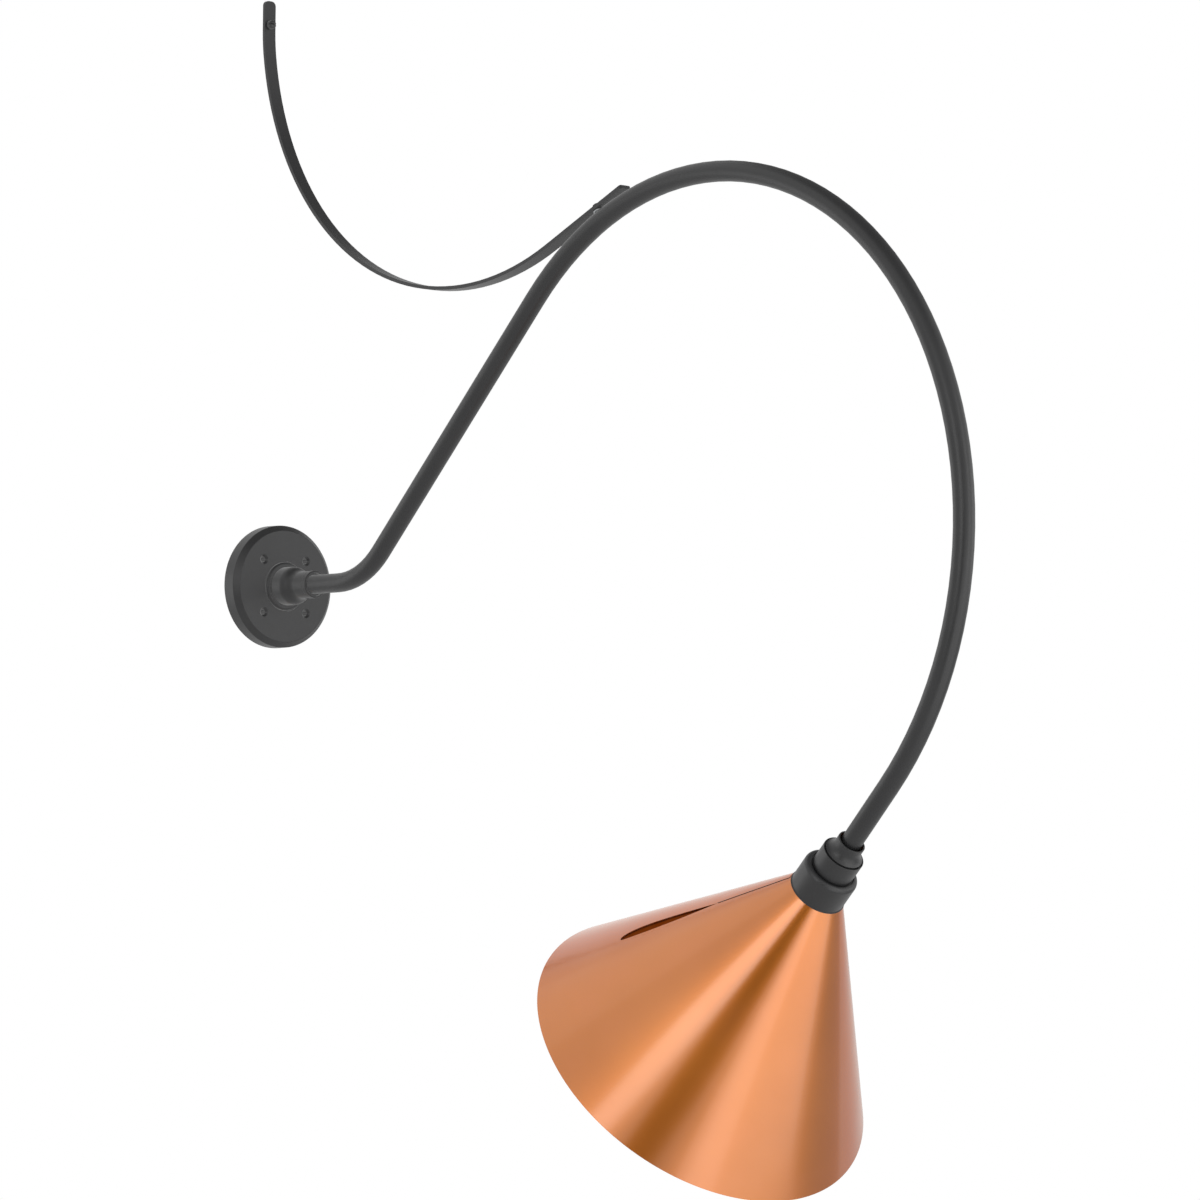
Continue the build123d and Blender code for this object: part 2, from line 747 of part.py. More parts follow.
def shade():
    top_radius = shade_top_diameter / 2
    inward = (-shade_thickness * cos(slope), shade_thickness * sin(slope))
    top = (top_radius, shade_tip + top_radius / tan(slope))
    rim = (rim_radius, shade_tip + rim_radius / tan(slope))
    inner_rim = (rim[0] + inward[0], rim[1] + inward[1])
    inner_top = (top[0] + inward[0], top[1] + inward[1])
    cone = turned_polygon(top, rim, inner_rim, inner_top)
    # The slot lies along one straight line of the cone
    turn = radians(slot_angle)
    along = Vector(sin(slope) * cos(turn), sin(slope) * sin(turn), cos(slope))
    out = Vector(cos(slope) * cos(turn), cos(slope) * sin(turn), -sin(slope))
    flank = Plane(origin=(0, 0, shade_tip), x_dir=along, z_dir=out)
    tip = (slot_start, 0)
    corner = (slot_start + slot_straight, -slot_rise)
    shoulder = (slot_start + slot_shoulder, -slot_shoulder_rise)
    nose = (slot_start + slot_length, slot_drop)
    belly = (slot_start + slot_length / 2, slot_belly)
    round_end = ThreePointArc(corner, shoulder, nose)
    slot = make_face([Line(tip, corner), round_end, ThreePointArc(nose, belly, tip)])
    cone -= flank * extrude(slot, slot_cut_depth, both=True)
    return head_frame * cone


def shade_gasket():
    inner = cup_bore + cup_step
    back = shade_gasket_thickness * cos(slope)
    drop = shade_gasket_thickness * sin(slope)
    top = (inner, cup_tip + inner / tan(slope))
    outer = cup_radius + shade_gasket_overhang
    bottom = (outer, cup_tip + outer / tan(slope))
    return head_frame * turned_polygon(
        top, bottom, (bottom[0] - back, bottom[1] + drop), (top[0] - back, top[1] + drop),
    )


def shade_ring():
    bore = holder_radius + fit_gap
    top = shade_inner_tip + bore / tan(slope)
    bottom = top + shade_ring_height
    outer = (bottom - shade_inner_tip) * tan(slope)
    return head_frame * turned_polygon(
        (bore, top), (outer, bottom), (outer, bottom + shade_ring_land), (bore, bottom + shade_ring_land),
    )


def bulb_contact():
    top = shell_floor + contact_thickness
    return head_frame * rod(bulb_tip_diameter, top, top + bulb_tip_height)


def bulb_insulator():
    top = shell_floor + contact_thickness + bulb_tip_height
    end = top + bulb_insulator_height
    tip = bulb_tip_diameter / 2
    return head_frame * turned_polygon((0, top), (tip, top), (base_radius, end), (0, end))


def bulb_base():
    top = shell_floor + contact_thickness + bulb_tip_height + bulb_insulator_height
    end = holder_mouth + bulb_collar_gap
    return head_frame * ring(base_radius, base_radius - bulb_base_wall, top, end)


def bulb_shapes():
    """The bulb's collar height, its neck's end as a radius and a height, and the middle of its dome."""
    collar = holder_mouth + bulb_collar_gap
    end = collar + bulb_housing_length
    middle = end + bulb_dome_rise
    dome = bulb_diameter / 2
    return collar, (sqrt(dome ** 2 - bulb_dome_rise ** 2), end), middle


def bulb_housing():
    collar, neck, middle = bulb_shapes()
    along_dome = (-(middle - neck[1]), -neck[0])
    flare = TangentArc(neck, (bulb_collar_diameter / 2, collar), tangent=along_dome)
    body = turned(
        flare,
        Polyline((bulb_collar_diameter / 2, collar), (0, collar), (0, neck[1]), neck),
    )
    spigot = base_radius - bulb_base_wall - fit_gap
    body += rod(2 * spigot, collar - bulb_spigot_length, collar + bulb_housing_floor / 2)
    hollow = turned_polygon(
        (0, collar + bulb_housing_floor), (spigot - bulb_housing_wall, collar + bulb_housing_floor),
        (neck[0] - bulb_rim_wall, neck[1] + overrun), (0, neck[1] + overrun),
    )
    return head_frame * (body - hollow)


def bulb_dome():
    collar, neck, middle = bulb_shapes()
    outer = Pos(0, 0, middle) * Sphere(bulb_diameter / 2)
    inner = Pos(0, 0, middle) * Sphere(bulb_diameter / 2 - bulb_wall)
    below = rod(2 * bulb_diameter, collar - bulb_diameter, neck[1])
    return head_frame * (outer - inner - below)


pieces = {
    "wall_plate": wall_plate(),
    "wall_gasket": wall_gasket(),
    "hub_set_screw": hub_set_screw(),
    "arm_lock_collar": arm_lock_collar(),
    "gooseneck_arm": gooseneck_arm(),
    "terminal_block": terminal_block(),
    "block_screws": block_screws(),
    "earth_screw": earth_screw(),
    "line_lead": arm_lead(-1),
    "earth_lead": arm_lead(0),
    "neutral_lead": arm_lead(1),
    "support_strap": support_strap(),
    "strap_wall_screw": strap_wall_screw(),
    "strap_arm_screw": strap_arm_screw(),
    "arm_rivet_nut": arm_rivet_nut(),
    "swivel_ball": swivel_ball(),
    "lead_bush": lead_bush(),
    "swivel_bell": swivel_bell(),
    "swivel_sleeve": swivel_sleeve(),
    "ball_seat": ball_seat(),
    "seat_spring": seat_spring(),
    "retaining_washer": retaining_washer(),
    "sleeve_lock_nut": sleeve_lock_nut(),
    "socket_cup": socket_cup(),
    "turn_bush": turn_bush(),
    "carrier_plate": carrier_plate(),
    "carrier_lock_ring": carrier_lock_ring(),
    "lamp_holder": lamp_holder(),
    "holder_screws": holder_screws(),
    "holder_terminals": holder_terminals(),
    "screw_shell": screw_shell(),
    "centre_contact": centre_contact(),
    "shade": shade(),
    "shade_gasket": shade_gasket(),
    "shade_ring": shade_ring(),
    "bulb_contact": bulb_contact(),
    "bulb_insulator": bulb_insulator(),
    "bulb_base": bulb_base(),
    "bulb_housing": bulb_housing(),
    "bulb_dome": bulb_dome(),
}

os.makedirs("parts", exist_ok=True)
for name, piece in pieces.items():
    export_step(piece, "parts/%s.step" % name)
print("ball centre", ball_centre, "head axis", head_axis, "arm end", end_direction)
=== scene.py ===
# %% [markdown]
# A gooseneck barn light, dressed for its portrait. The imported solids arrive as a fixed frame, in metres,
# with the wall at Y = 0, the arm reaching out along -Y and Z up the wall. This lesson adds what the solids
# lack: finishes, a finer sheet for the shade with its lap, a studio and a camera. The solids themselves
# never move.

# %% Load the frame
import json
from math import cos, pi, radians, sin

import bmesh
import bpy
from mathutils import Matrix, Vector


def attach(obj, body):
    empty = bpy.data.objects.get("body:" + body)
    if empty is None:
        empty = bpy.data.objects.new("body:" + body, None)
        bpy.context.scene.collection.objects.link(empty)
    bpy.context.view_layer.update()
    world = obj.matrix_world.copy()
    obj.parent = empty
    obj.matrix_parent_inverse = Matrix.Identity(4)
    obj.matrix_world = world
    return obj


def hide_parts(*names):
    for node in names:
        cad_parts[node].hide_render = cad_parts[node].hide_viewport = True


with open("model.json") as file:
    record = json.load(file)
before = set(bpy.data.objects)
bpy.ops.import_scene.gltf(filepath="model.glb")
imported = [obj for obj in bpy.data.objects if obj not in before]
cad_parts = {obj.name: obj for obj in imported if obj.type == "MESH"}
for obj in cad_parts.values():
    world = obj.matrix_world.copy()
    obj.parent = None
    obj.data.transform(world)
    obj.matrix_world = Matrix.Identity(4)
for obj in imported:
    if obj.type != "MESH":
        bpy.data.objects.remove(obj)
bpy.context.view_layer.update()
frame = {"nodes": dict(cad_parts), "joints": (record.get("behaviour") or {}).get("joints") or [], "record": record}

nodes = frame["nodes"]
record = frame["record"]
scene = bpy.context.scene
scene.view_settings.view_transform = "Standard"

# %% [markdown]
# The camera stands where the photograph was taken: level with the arm's foot, to the left of the arm's
# plane, far off and with a long lens. Tracking an empty would aim it too, but three axes of its own, right,
# up and back, say plainly where it looks: they become the columns of its matrix.


# %% Camera
def direction(azimuth, elevation):
    """A unit vector; azimuth 0 points straight out from the wall and grows to the right."""
    return Vector((sin(azimuth) * cos(elevation), -cos(azimuth) * cos(elevation), sin(elevation)))


VIEW_AZIMUTH, VIEW_ELEVATION = radians(-41.271), radians(-2.954)
CAMERA_PLACE = Vector((-2.50588, -3.31721, -0.22595))
SENSOR_WIDTH, LENS_LENGTH = 36.0, 133.363
back = direction(VIEW_AZIMUTH, VIEW_ELEVATION)
right = Vector((0, 0, 1)).cross(back).normalized()
up = back.cross(right)

camera = bpy.data.objects.new("camera", bpy.data.cameras.new("camera"))
scene.collection.objects.link(camera)
camera.data.sensor_width = SENSOR_WIDTH
camera.data.lens = LENS_LENGTH
camera_turn = Matrix((right, up, back)).transposed().to_4x4()
camera.matrix_world = Matrix.Translation(CAMERA_PLACE) @ camera_turn
scene.camera = camera
print("camera at", [round(c, 3) for c in camera.matrix_world.translation])

# %% [markdown]
# A finish is mostly sums of patterns. Wiring every Math node by hand hides the sum, so one small class
# wraps an output socket: arithmetic on it adds Math nodes, and its method node adds any other node, with
# the settings first and then the values or links of its sockets. Numbers alone stay in Python, so only what
# changes over a surface becomes a node.


# %% Flow, a socket with arithmetic
class Flow:
    """One output socket of a finish's node tree."""

    def __init__(self, tree, socket):
        self.tree = tree
        self.socket = socket

    def node(self, kind, settings=None, sockets=None, out=0):
        made = self.tree.nodes.new(kind)
        for name, value in (settings or {}).items():
            setattr(made, name, value)
        for name, value in (sockets or {}).items():
            if isinstance(value, Flow):
                self.tree.links.new(value.socket, made.inputs[name])
            else:
                made.inputs[name].default_value = value
        return Flow(self.tree, made.outputs[out])

    def sum(self, operation, first, second):
        return self.node("ShaderNodeMath", {"operation": operation}, {0: first, 1: second})

    def __add__(self, other):
        return self.sum("ADD", self, other)

    def __radd__(self, other):
        return self.sum("ADD", other, self)

    def __sub__(self, other):
        return self.sum("SUBTRACT", self, other)

    def __rsub__(self, other):
        return self.sum("SUBTRACT", other, self)

    def __mul__(self, other):
        return self.sum("MULTIPLY", self, other)

    def __rmul__(self, other):
        return self.sum("MULTIPLY", other, self)

    def __truediv__(self, other):
        return self.sum("DIVIDE", self, other)

    def __pow__(self, other):
        return self.sum("POWER", self, other)


# %% [markdown]
# Every finish starts the same way: a Principled shader whose plain values are set straight on its sockets,
# and the object's own coordinates as the place on the surface. Those coordinates ride with the body, so a
# finish stays put when the head turns; world coordinates would slide over it.


# %% A blank finish
def finish(name, **plain):
    """A material with plain socket values, and the place on the surface as a Flow."""
    material = bpy.data.materials.new(name)
    material.use_nodes = True
    tree = material.node_tree
    shader = tree.nodes["Principled BSDF"]
    for socket, value in plain.items():
        shader.inputs[socket.replace("_", " ")].default_value = value
    place = Flow(tree, tree.nodes.new("ShaderNodeTexCoord").outputs["Object"])
    return material, place


def feed(material, socket, flow):
    """Links a varying value to a socket of the finish's shader."""
    tree = material.node_tree
    tree.links.new(flow.socket, tree.nodes["Principled BSDF"].inputs[socket])


# %% [markdown]
# Real surfaces vary at several sizes at once. A picture could hold that, but it would have one fixed
# resolution and need unwrapping. Noise needs neither, so patterns are noise of a stated size in metres,
# shaped by smooth steps and turned into colours and bumps.


# %% Patterns, colours and bumps
def grain(place, size, detail=2.0, roughness=0.5):
    """Noise from 0 to 1 whose blotches are about one size across, in metres."""
    return place.node("ShaderNodeTexNoise", {}, {
        "Vector": place, "Scale": 1.0 / size, "Detail": detail, "Roughness": roughness,
    })


def ease(flow, low, high, start=0.0, end=1.0):
    """A value that goes smoothly from start to end as the flow goes from low to high."""
    return flow.node("ShaderNodeMapRange", {"interpolation_type": "SMOOTHSTEP"}, {
        "Value": flow, "From Min": low, "From Max": high, "To Min": start, "To Max": end,
    })


def blend(factor, first, second):
    """A colour between two colours."""
    return factor.node("ShaderNodeMix", {"data_type": "RGBA"}, {0: factor, 6: first, 7: second}, out=2)


def emboss(material, height, depth, strength=1.0):
    """Bumps of a real depth, in metres, on the finish."""
    bump = height.node("ShaderNodeBump", {}, {"Height": height, "Distance": depth, "Strength": strength})
    feed(material, "Normal", bump)


def rgb(red, green, blue):
    """A colour by its screen values from 0 to 255, as the linear colour that shaders use."""
    def linear(value):
        share = value / 255
        return share / 12.92 if share <= 0.04045 else ((share + 0.055) / 1.055) ** 2.4
    return (linear(red), linear(green), linear(blue), 1.0)


print("screen grey 128 is linear", round(rgb(128, 128, 128)[0], 3))

# %% [markdown]
# The tube, the strap and the turned pieces at its end wear one satin black powder coat. Baked powder is
# never quite flat: it keeps a fine orange peel about a millimetre across, a broad drift in gloss, and a
# faint dust of paler specks. One plain black would look like plastic, so noise at three sizes gives all of
# that. The casting has the same coat over a coarser skin, so only its colour and its peel's depth differ.

# %% Black powder coat
SPECK_GREY = (118, 118, 116)
DRIFT_LIFT = 5


def powder_coat(name, base, peel):
    material, place = finish(name, Specular_IOR_Level=0.5, Coat_Weight=0.0)
    drift = grain(place, 0.06, 3.0)
    fine = grain(place, 0.0011, 2.0, 0.6)
    specks = ease(grain(place, 0.0007, 1.0), 0.66, 0.74)
    paler = [value + DRIFT_LIFT for value in base]
    worn = blend(ease(drift, 0.3, 0.7), rgb(*base), rgb(*paler))
    feed(material, "Base Color", blend(specks * 0.06, worn, rgb(*SPECK_GREY)))
    feed(material, "Roughness", 0.34 + drift * 0.08 + fine * 0.05)
    emboss(material, fine + 0.35 * grain(place, 0.004, 1.0), peel)
    return material


black_coat = powder_coat("black_powder_coat", (28, 28, 29), 0.00005)
black_cast = powder_coat("black_coat_on_casting", (29, 29, 30), 0.00009)
print("powder coats", black_coat.name, black_cast.name)

# %% [markdown]
# The shade is copper sheet rolled into a cone. Its marks follow the cone, so they need the cone's own
# frame: its axis is that of the joint that turns the head, its tip lies a little past the joint's centre,
# and a place on it is told by the slant, from the tip down, and the angle round the axis. The lap seam runs
# down one straight line.

# %% The cone's own frame
head_joint = next(joint for joint in frame["joints"] if joint["name"] == "head_turn")
swivel_centre = Vector(head_joint["pos_m"])
head_axis = Vector(head_joint["axis"]).normalized()
head_x = (Vector((1, 0, 0)) - head_axis * head_axis.x).normalized()
head_y = head_axis.cross(head_x)
CONE_HALF_ANGLE = radians(31.95)
TIP_PAST_SWIVEL = 0.00926
CONE_TIP = swivel_centre + head_axis * TIP_PAST_SWIVEL
SEAM_ANGLE = radians(-132.2)
SEAM_TOP, SEAM_END = 0.044, 0.1164
print("cone tip", [round(c, 4) for c in CONE_TIP])


# %% The same frame inside a finish
def along(place, origin, towards):
    """How far the place lies from an origin along a direction."""
    moved = place.node("ShaderNodeVectorMath", {"operation": "SUBTRACT"}, {0: place, 1: origin})
    return place.node("ShaderNodeVectorMath", {"operation": "DOT_PRODUCT"}, {0: moved, 1: towards}, out=1)


def cone_place(place):
    """The slant, the angle round the axis, and the depth below the cone's outer face."""
    sideways = along(place, CONE_TIP, head_x)
    outward = along(place, CONE_TIP, head_y)
    height = along(place, CONE_TIP, head_axis)
    slant = height / cos(CONE_HALF_ANGLE)
    radius = (sideways * sideways + outward * outward) ** 0.5
    angle = outward.sum("ARCTAN2", outward, sideways)
    depth = height * sin(CONE_HALF_ANGLE) - radius * cos(CONE_HALF_ANGLE)
    return slant, angle, depth


# %% [markdown]
# The copper is satin under clear lacquer. Spinning and wiping leave hair-fine rings across the slant, and
# handling leaves broad warm and pink patches. An anisotropic shader could stretch the gloss alone, but the
# rings would not show close up, so they are noise squeezed along the slant. The lacquer is the shader's
# clear coat. The seam is a thin dark line here; its step is real mesh, further on.

# %% Rings and the seam's line
RINGS_ROUND, RINGS_DOWN = 2.0, 2600.0
SEAM_FADE = 0.001
SEAM_CORE, SEAM_BLUR = 0.00022, 0.00055


def spun_rings(place, slant, angle):
    ring_place = place.node("ShaderNodeCombineXYZ", {}, {
        "X": angle * RINGS_ROUND, "Y": slant * RINGS_DOWN, "Z": 0.0,
    })
    return place.node("ShaderNodeTexNoise", {}, {
        "Vector": ring_place, "Scale": 1.0, "Detail": 3.0, "Roughness": 0.6,
    })


def seam_line(slant, off_seam):
    """1 on the seam's dark line and 0 elsewhere."""
    window = ease(slant, SEAM_TOP - SEAM_FADE, SEAM_TOP)
    window = window * ease(slant, SEAM_END, SEAM_END + SEAM_FADE, 1.0, 0.0)
    return ease(off_seam, SEAM_CORE, SEAM_BLUR, 1.0, 0.0) * window


# %% [markdown]
# The sheet's inside is bare and duller, and the lap behind the vent slot gets painted shade: a dark brown
# that stands for the shadow inside the slot. Three materials would need three sets of faces; the depth below
# the outer face tells them apart in one finish, which also works on the imported solid.

# %% Lacquered copper
COPPER_DEEP, COPPER_WARM = (0.49, 0.140, 0.011, 1.0), (0.53, 0.159, 0.017, 1.0)
COPPER_PINK, COPPER_RING = (0.56, 0.176, 0.05, 1.0), (0.34, 0.10, 0.025, 1.0)
COPPER_EDGE, SEAM_DARK = (0.85, 0.42, 0.20, 1.0), (0.05, 0.018, 0.009, 1.0)
BARE_DEEP, BARE_WARM = (0.40, 0.145, 0.055, 1.0), (0.50, 0.190, 0.080, 1.0)
# Painted shade: the dark brown of the lap seen through the vent slot
PAINTED_SHADE_DEEP, PAINTED_SHADE_WARM = (0.130, 0.034, 0.009, 1.0), (0.185, 0.052, 0.014, 1.0)


def lacquered_copper(name):
    material, place = finish(
        name, Metallic=1.0, Coat_Roughness=0.15, Coat_IOR=1.78, Specular_Tint=COPPER_EDGE,
    )
    slant, angle, depth = cone_place(place)
    across = (angle - SEAM_ANGLE) * slant * sin(CONE_HALF_ANGLE)
    off_seam = across.sum("ABSOLUTE", across, 0.0)
    rings = spun_rings(place, slant, angle)
    line = seam_line(slant, off_seam)
    patches = grain(place, 0.11, 2.0)
    pink = grain(place, 0.05, 2.0)
    mottle = ease(grain(place, 0.035, 4.0, 0.6), 0.3, 0.7)
    # Where the sheet is bare, and where the lap gets its painted shade
    inside = ease(depth, 0.0003, 0.0006)
    painted_slot_shade = ease(depth, 0.00095, 0.00105) * ease(depth, 0.0014, 0.0015, 1.0, 0.0)
    painted_slot_shade = painted_slot_shade * ease(off_seam, 0.0115, 0.0125, 1.0, 0.0)
    # The outer face, from its broad patches to its fine marks
    copper = blend(ease(patches, 0.3, 0.7), COPPER_DEEP, COPPER_WARM)
    copper = blend(ease(pink, 0.45, 0.8) * 0.3, copper, COPPER_PINK)
    copper = blend(rings * 0.08, copper, COPPER_RING)
    copper = blend(line * 0.85, copper, SEAM_DARK)
    copper = blend(inside, copper, blend(mottle, BARE_DEEP, BARE_WARM))
    feed(material, "Base Color", blend(painted_slot_shade, copper, blend(mottle, PAINTED_SHADE_DEEP, PAINTED_SHADE_WARM)))
    polished = 0.30 + rings * 0.05 + patches * 0.05 + line * 0.3
    feed(material, "Roughness", polished + inside * (0.46 + 0.10 * mottle - polished))
    feed(material, "Coat Weight", (1.0 - 0.2 * pink) * (1.0 - inside))
    emboss(material, rings, 0.000015, 0.6)
    return material


copper_lacquer = lacquered_copper("copper_lacquered")
print("copper", copper_lacquer.name, "with", len(copper_lacquer.node_tree.nodes), "nodes")

# %% [markdown]
# The small hardware needs only a few plain metals: zinc plate with its faint crystals, bare brass, nickel,
# spring steel and black oxide. Each could have its own tree, but they differ in numbers alone, so one
# recipe serves all of them, with a colour pair, a roughness and a grain.


# %% Plated and bare metals
def small_metal(name, dark, light, rough, grain_size, metallic=1.0):
    material, place = finish(name, Metallic=metallic)
    broad = grain(place, grain_size * 6)
    fine = grain(place, grain_size, 3.0, 0.65)
    crystals = ease(0.6 * broad + 0.4 * fine, 0.35, 0.65)
    feed(material, "Base Color", blend(crystals, rgb(*dark), rgb(*light)))
    feed(material, "Roughness", rough + 0.16 * fine - 0.05 * broad)
    emboss(material, fine, 0.00003)
    return material


zinc = small_metal("zinc_plate", (150, 152, 152), (196, 198, 200), 0.26, 0.0014)
spring_steel = small_metal("spring_steel", (96, 98, 104), (140, 142, 148), 0.24, 0.0010)
brass = small_metal("bare_brass", (176, 134, 62), (214, 174, 98), 0.22, 0.0012)
nickel = small_metal("nickel_plate", (170, 164, 152), (206, 200, 190), 0.18, 0.0012)
black_oxide = small_metal("black_oxide", (34, 34, 35), (52, 52, 52), 0.42, 0.0009, 0.0)
print("metals", [m.name for m in (zinc, spring_steel, brass, nickel, black_oxide)])

# %% [markdown]
# Plastics, rubber and porcelain differ in what lies under the surface. Rubber is matt with a sooty bloom,
# moulded nylon has a soft gloss and flow marks, and glazed porcelain is a pale body under a clear glaze.
# Light scattering under the skin could be traced, but at this size it would not show, so sheen and a clear
# coat do.


# %% Plastics, rubber and porcelain
def moulded(name, dark, light, rough, sheen=0.0, glaze=0.0, bumps=0.00004):
    material, place = finish(name, Sheen_Weight=sheen, Coat_Weight=glaze, Coat_Roughness=0.06)
    flow_marks = grain(place, 0.014, 2.0)
    fine = grain(place, 0.0008, 2.0)
    feed(material, "Base Color", blend(ease(flow_marks, 0.3, 0.7), rgb(*dark), rgb(*light)))
    feed(material, "Roughness", rough + 0.08 * fine + 0.05 * flow_marks)
    emboss(material, fine + 2.0 * flow_marks, bumps)
    return material


rubber = moulded("gasket_rubber", (22, 22, 23), (34, 34, 35), 0.62, sheen=0.1)
nylon = moulded("white_nylon", (206, 203, 194), (220, 218, 210), 0.38)
black_nylon = moulded("black_nylon", (24, 24, 25), (33, 33, 34), 0.45)
porcelain = moulded("glazed_porcelain", (232, 228, 220), (242, 239, 233), 0.30, glaze=1.0)
lead_black = moulded("lead_black", (20, 20, 21), (30, 30, 31), 0.40)
lead_white = moulded("lead_white", (214, 214, 210), (226, 226, 222), 0.40)
lead_green = moulded("lead_green", (38, 104, 46), (56, 128, 60), 0.40)
opal = moulded("opal_diffuser", (240, 239, 233), (246, 245, 241), 0.34, bumps=0.00001)
bulb_white = moulded("bulb_housing_white", (226, 226, 222), (236, 236, 232), 0.28)
black_glass = moulded("fused_black_glass", (16, 16, 17), (24, 24, 25), 0.10, glaze=0.6)
print("finishes so far", len(bpy.data.materials))

# %% [markdown]
# Each solid already names its slot in the record. Dressing the solids one by one would repeat that list, so
# a table from slot to finish is enough.

# %% Dress the solids
finishes = {
    "black_coat": black_coat, "black_cast": black_cast, "black_screw": black_oxide,
    "copper": copper_lacquer, "zinc_steel": zinc, "spring_steel": spring_steel,
    "brass": brass, "nickel": nickel,
    "rubber": rubber, "nylon": nylon, "black_nylon": black_nylon, "porcelain": porcelain,
    "lead_black": lead_black, "lead_white": lead_white, "lead_green": lead_green,
    "opal": opal, "bulb_white": bulb_white, "black_glass": black_glass,
}
for entry in record["subparts"]:
    solid = nodes[entry["node"]]
    solid.data.materials.clear()
    solid.data.materials.append(finishes[entry["material_slot"]])
print("dressed", len(record["subparts"]), "solids")

# %% [markdown]
# The shade is one flat sheet rolled into a cone, and its two ends meet along the seam, which opens into a
# vent slot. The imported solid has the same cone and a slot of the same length, but its long thin triangles
# straighten the slot's edges and disturb the reflections beside it, so a finer mesh stands for it. The slot
# is a leaf, written as a middle line and a half width, from its point at 0 to its nose at 1.


# %% Places on the cone
def on_cone(slant, angle, lift):
    """A point so far down the slant, round the axis and out from the cone's outer face."""
    ring = head_x * cos(angle) + head_y * sin(angle)
    face = ring * cos(CONE_HALF_ANGLE) - head_axis * sin(CONE_HALF_ANGLE)
    side = ring * slant * sin(CONE_HALF_ANGLE)
    return CONE_TIP + head_axis * slant * cos(CONE_HALF_ANGLE) + side + face * lift


def turn_across(slant, across):
    """The angle that a length across the seam takes up at this slant."""
    return across / (slant * sin(CONE_HALF_ANGLE))


# %% The slot's edges
SLOT_LENGTH = 0.095
SLOT_LEAN, NOSE_DROP, NOSE_HOOK = 0.0010, 0.0039, 9
LEAF_SWELL, POINT_SHAPE, NOSE_SHAPE = 0.0133, 1.05, 0.36


def slot_sides(t):
    """How far the slot's upper and lower edges lie across the seam."""
    middle = SLOT_LEAN * t - NOSE_DROP * t ** NOSE_HOOK
    half = LEAF_SWELL * t ** POINT_SHAPE * (1 - t) ** NOSE_SHAPE
    return middle + half, middle - half


def slot_edges(slant):
    """The angles of the slot's two edges; they are one where the sheet is closed."""
    upper, lower = slot_sides(min(max((slant - SEAM_END) / SLOT_LENGTH, 0.0), 1.0))
    shown = min(max(slant, SEAM_END), SEAM_END + SLOT_LENGTH)
    return SEAM_ANGLE + turn_across(shown, upper), SEAM_ANGLE + turn_across(shown, lower)


slot_widths = [upper - lower for upper, lower in (slot_sides(k / 50) for k in range(51))]
print("slot", SLOT_LENGTH, "m long and", round(max(slot_widths), 4), "m wide")

# %% [markdown]
# A Boolean cut would leave long triangles again. A grid is cleaner: its rows run round the cone from one
# side of the seam to the other, and where the slot opens, the rows simply start and stop at its two edges.
# Rows crowd towards the slot's nose, where the edges bend most.

# %% Rows of the sheet
SHEET_THICKNESS = 0.0008
TOP_RADIUS, RIM_RADIUS = 0.0194, 0.1524
SHEET_TOP, SHEET_RIM = TOP_RADIUS / sin(CONE_HALF_ANGLE), RIM_RADIUS / sin(CONE_HALF_ANGLE)
COLUMNS = 240
ROWS_ABOVE, ROWS_BESIDE, ROWS_BELOW = 16, 48, 14
NOSE_CROWDING = 1.8
above = [SHEET_TOP + (SEAM_END - SHEET_TOP) * k / ROWS_ABOVE for k in range(ROWS_ABOVE)]
crowded = [1 - (1 - k / ROWS_BESIDE) ** NOSE_CROWDING for k in range(ROWS_BESIDE + 1)]
beside = [SEAM_END + SLOT_LENGTH * share for share in crowded]
below = [beside[-1] + (SHEET_RIM - beside[-1]) * k / ROWS_BELOW for k in range(1, ROWS_BELOW + 1)]
rows = above + beside + below
print("sheet of", len(rows), "rows and", COLUMNS, "columns")


# %% The rolled sheet
def sheet_layer(work, lift):
    """One face of the sheet as rows of points."""
    layer = []
    for slant in rows:
        first, last = slot_edges(slant)
        sweep = 2 * pi - (first - last)
        angles = [first + sweep * k / COLUMNS for k in range(COLUMNS + 1)]
        layer.append([work.verts.new(on_cone(slant, angle, lift)) for angle in angles])
    return layer


sheet_work = bmesh.new()
outer, inner = [sheet_layer(sheet_work, lift) for lift in (0.0, -SHEET_THICKNESS)]
last_row = len(rows) - 1
for r in range(last_row):
    for c in range(COLUMNS):
        for layer in (outer, inner):
            sheet_work.faces.new((layer[r][c], layer[r][c + 1], layer[r + 1][c + 1], layer[r + 1][c]))
for c in range(COLUMNS):
    for r in (0, last_row):
        sheet_work.faces.new((outer[r][c], outer[r][c + 1], inner[r][c + 1], inner[r][c]))
for r in range(ROWS_ABOVE, ROWS_ABOVE + ROWS_BESIDE):
    for c in (0, COLUMNS):
        sheet_work.faces.new((outer[r][c], outer[r + 1][c], inner[r + 1][c], inner[r][c]))
WELD_DISTANCE = 1e-6
bmesh.ops.remove_doubles(sheet_work, verts=sheet_work.verts[:], dist=WELD_DISTANCE)
bmesh.ops.recalc_face_normals(sheet_work, faces=sheet_work.faces[:])
open_edges = sum(not edge.is_manifold for edge in sheet_work.edges)
print("sheet", len(sheet_work.verts), "points, open edges", open_edges)

# %% [markdown]
# The sheet is smooth round the cone and sharp at its cut edges. Bevelling such thin edges would round them
# away, so an angle tells the two apart. The piece rides on the head and stands for the solid shade.

# %% Copper pieces that ride with the head
SHARP_ANGLE = radians(30)


def copper_piece(name, work):
    """A copper piece of the head from a finished bmesh."""
    mesh = bpy.data.meshes.new(name)
    work.to_mesh(mesh)
    work.free()
    mesh.shade_smooth()
    mesh.set_sharp_from_angle(angle=SHARP_ANGLE)
    mesh.materials.append(copper_lacquer)
    piece = bpy.data.objects.new(name, mesh)
    scene.collection.objects.link(piece)
    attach(piece, "head")
    return piece


shade_sheet = copper_piece("shade_sheet", sheet_work)
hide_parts("shade")
print("shade drawn by", shade_sheet.name)

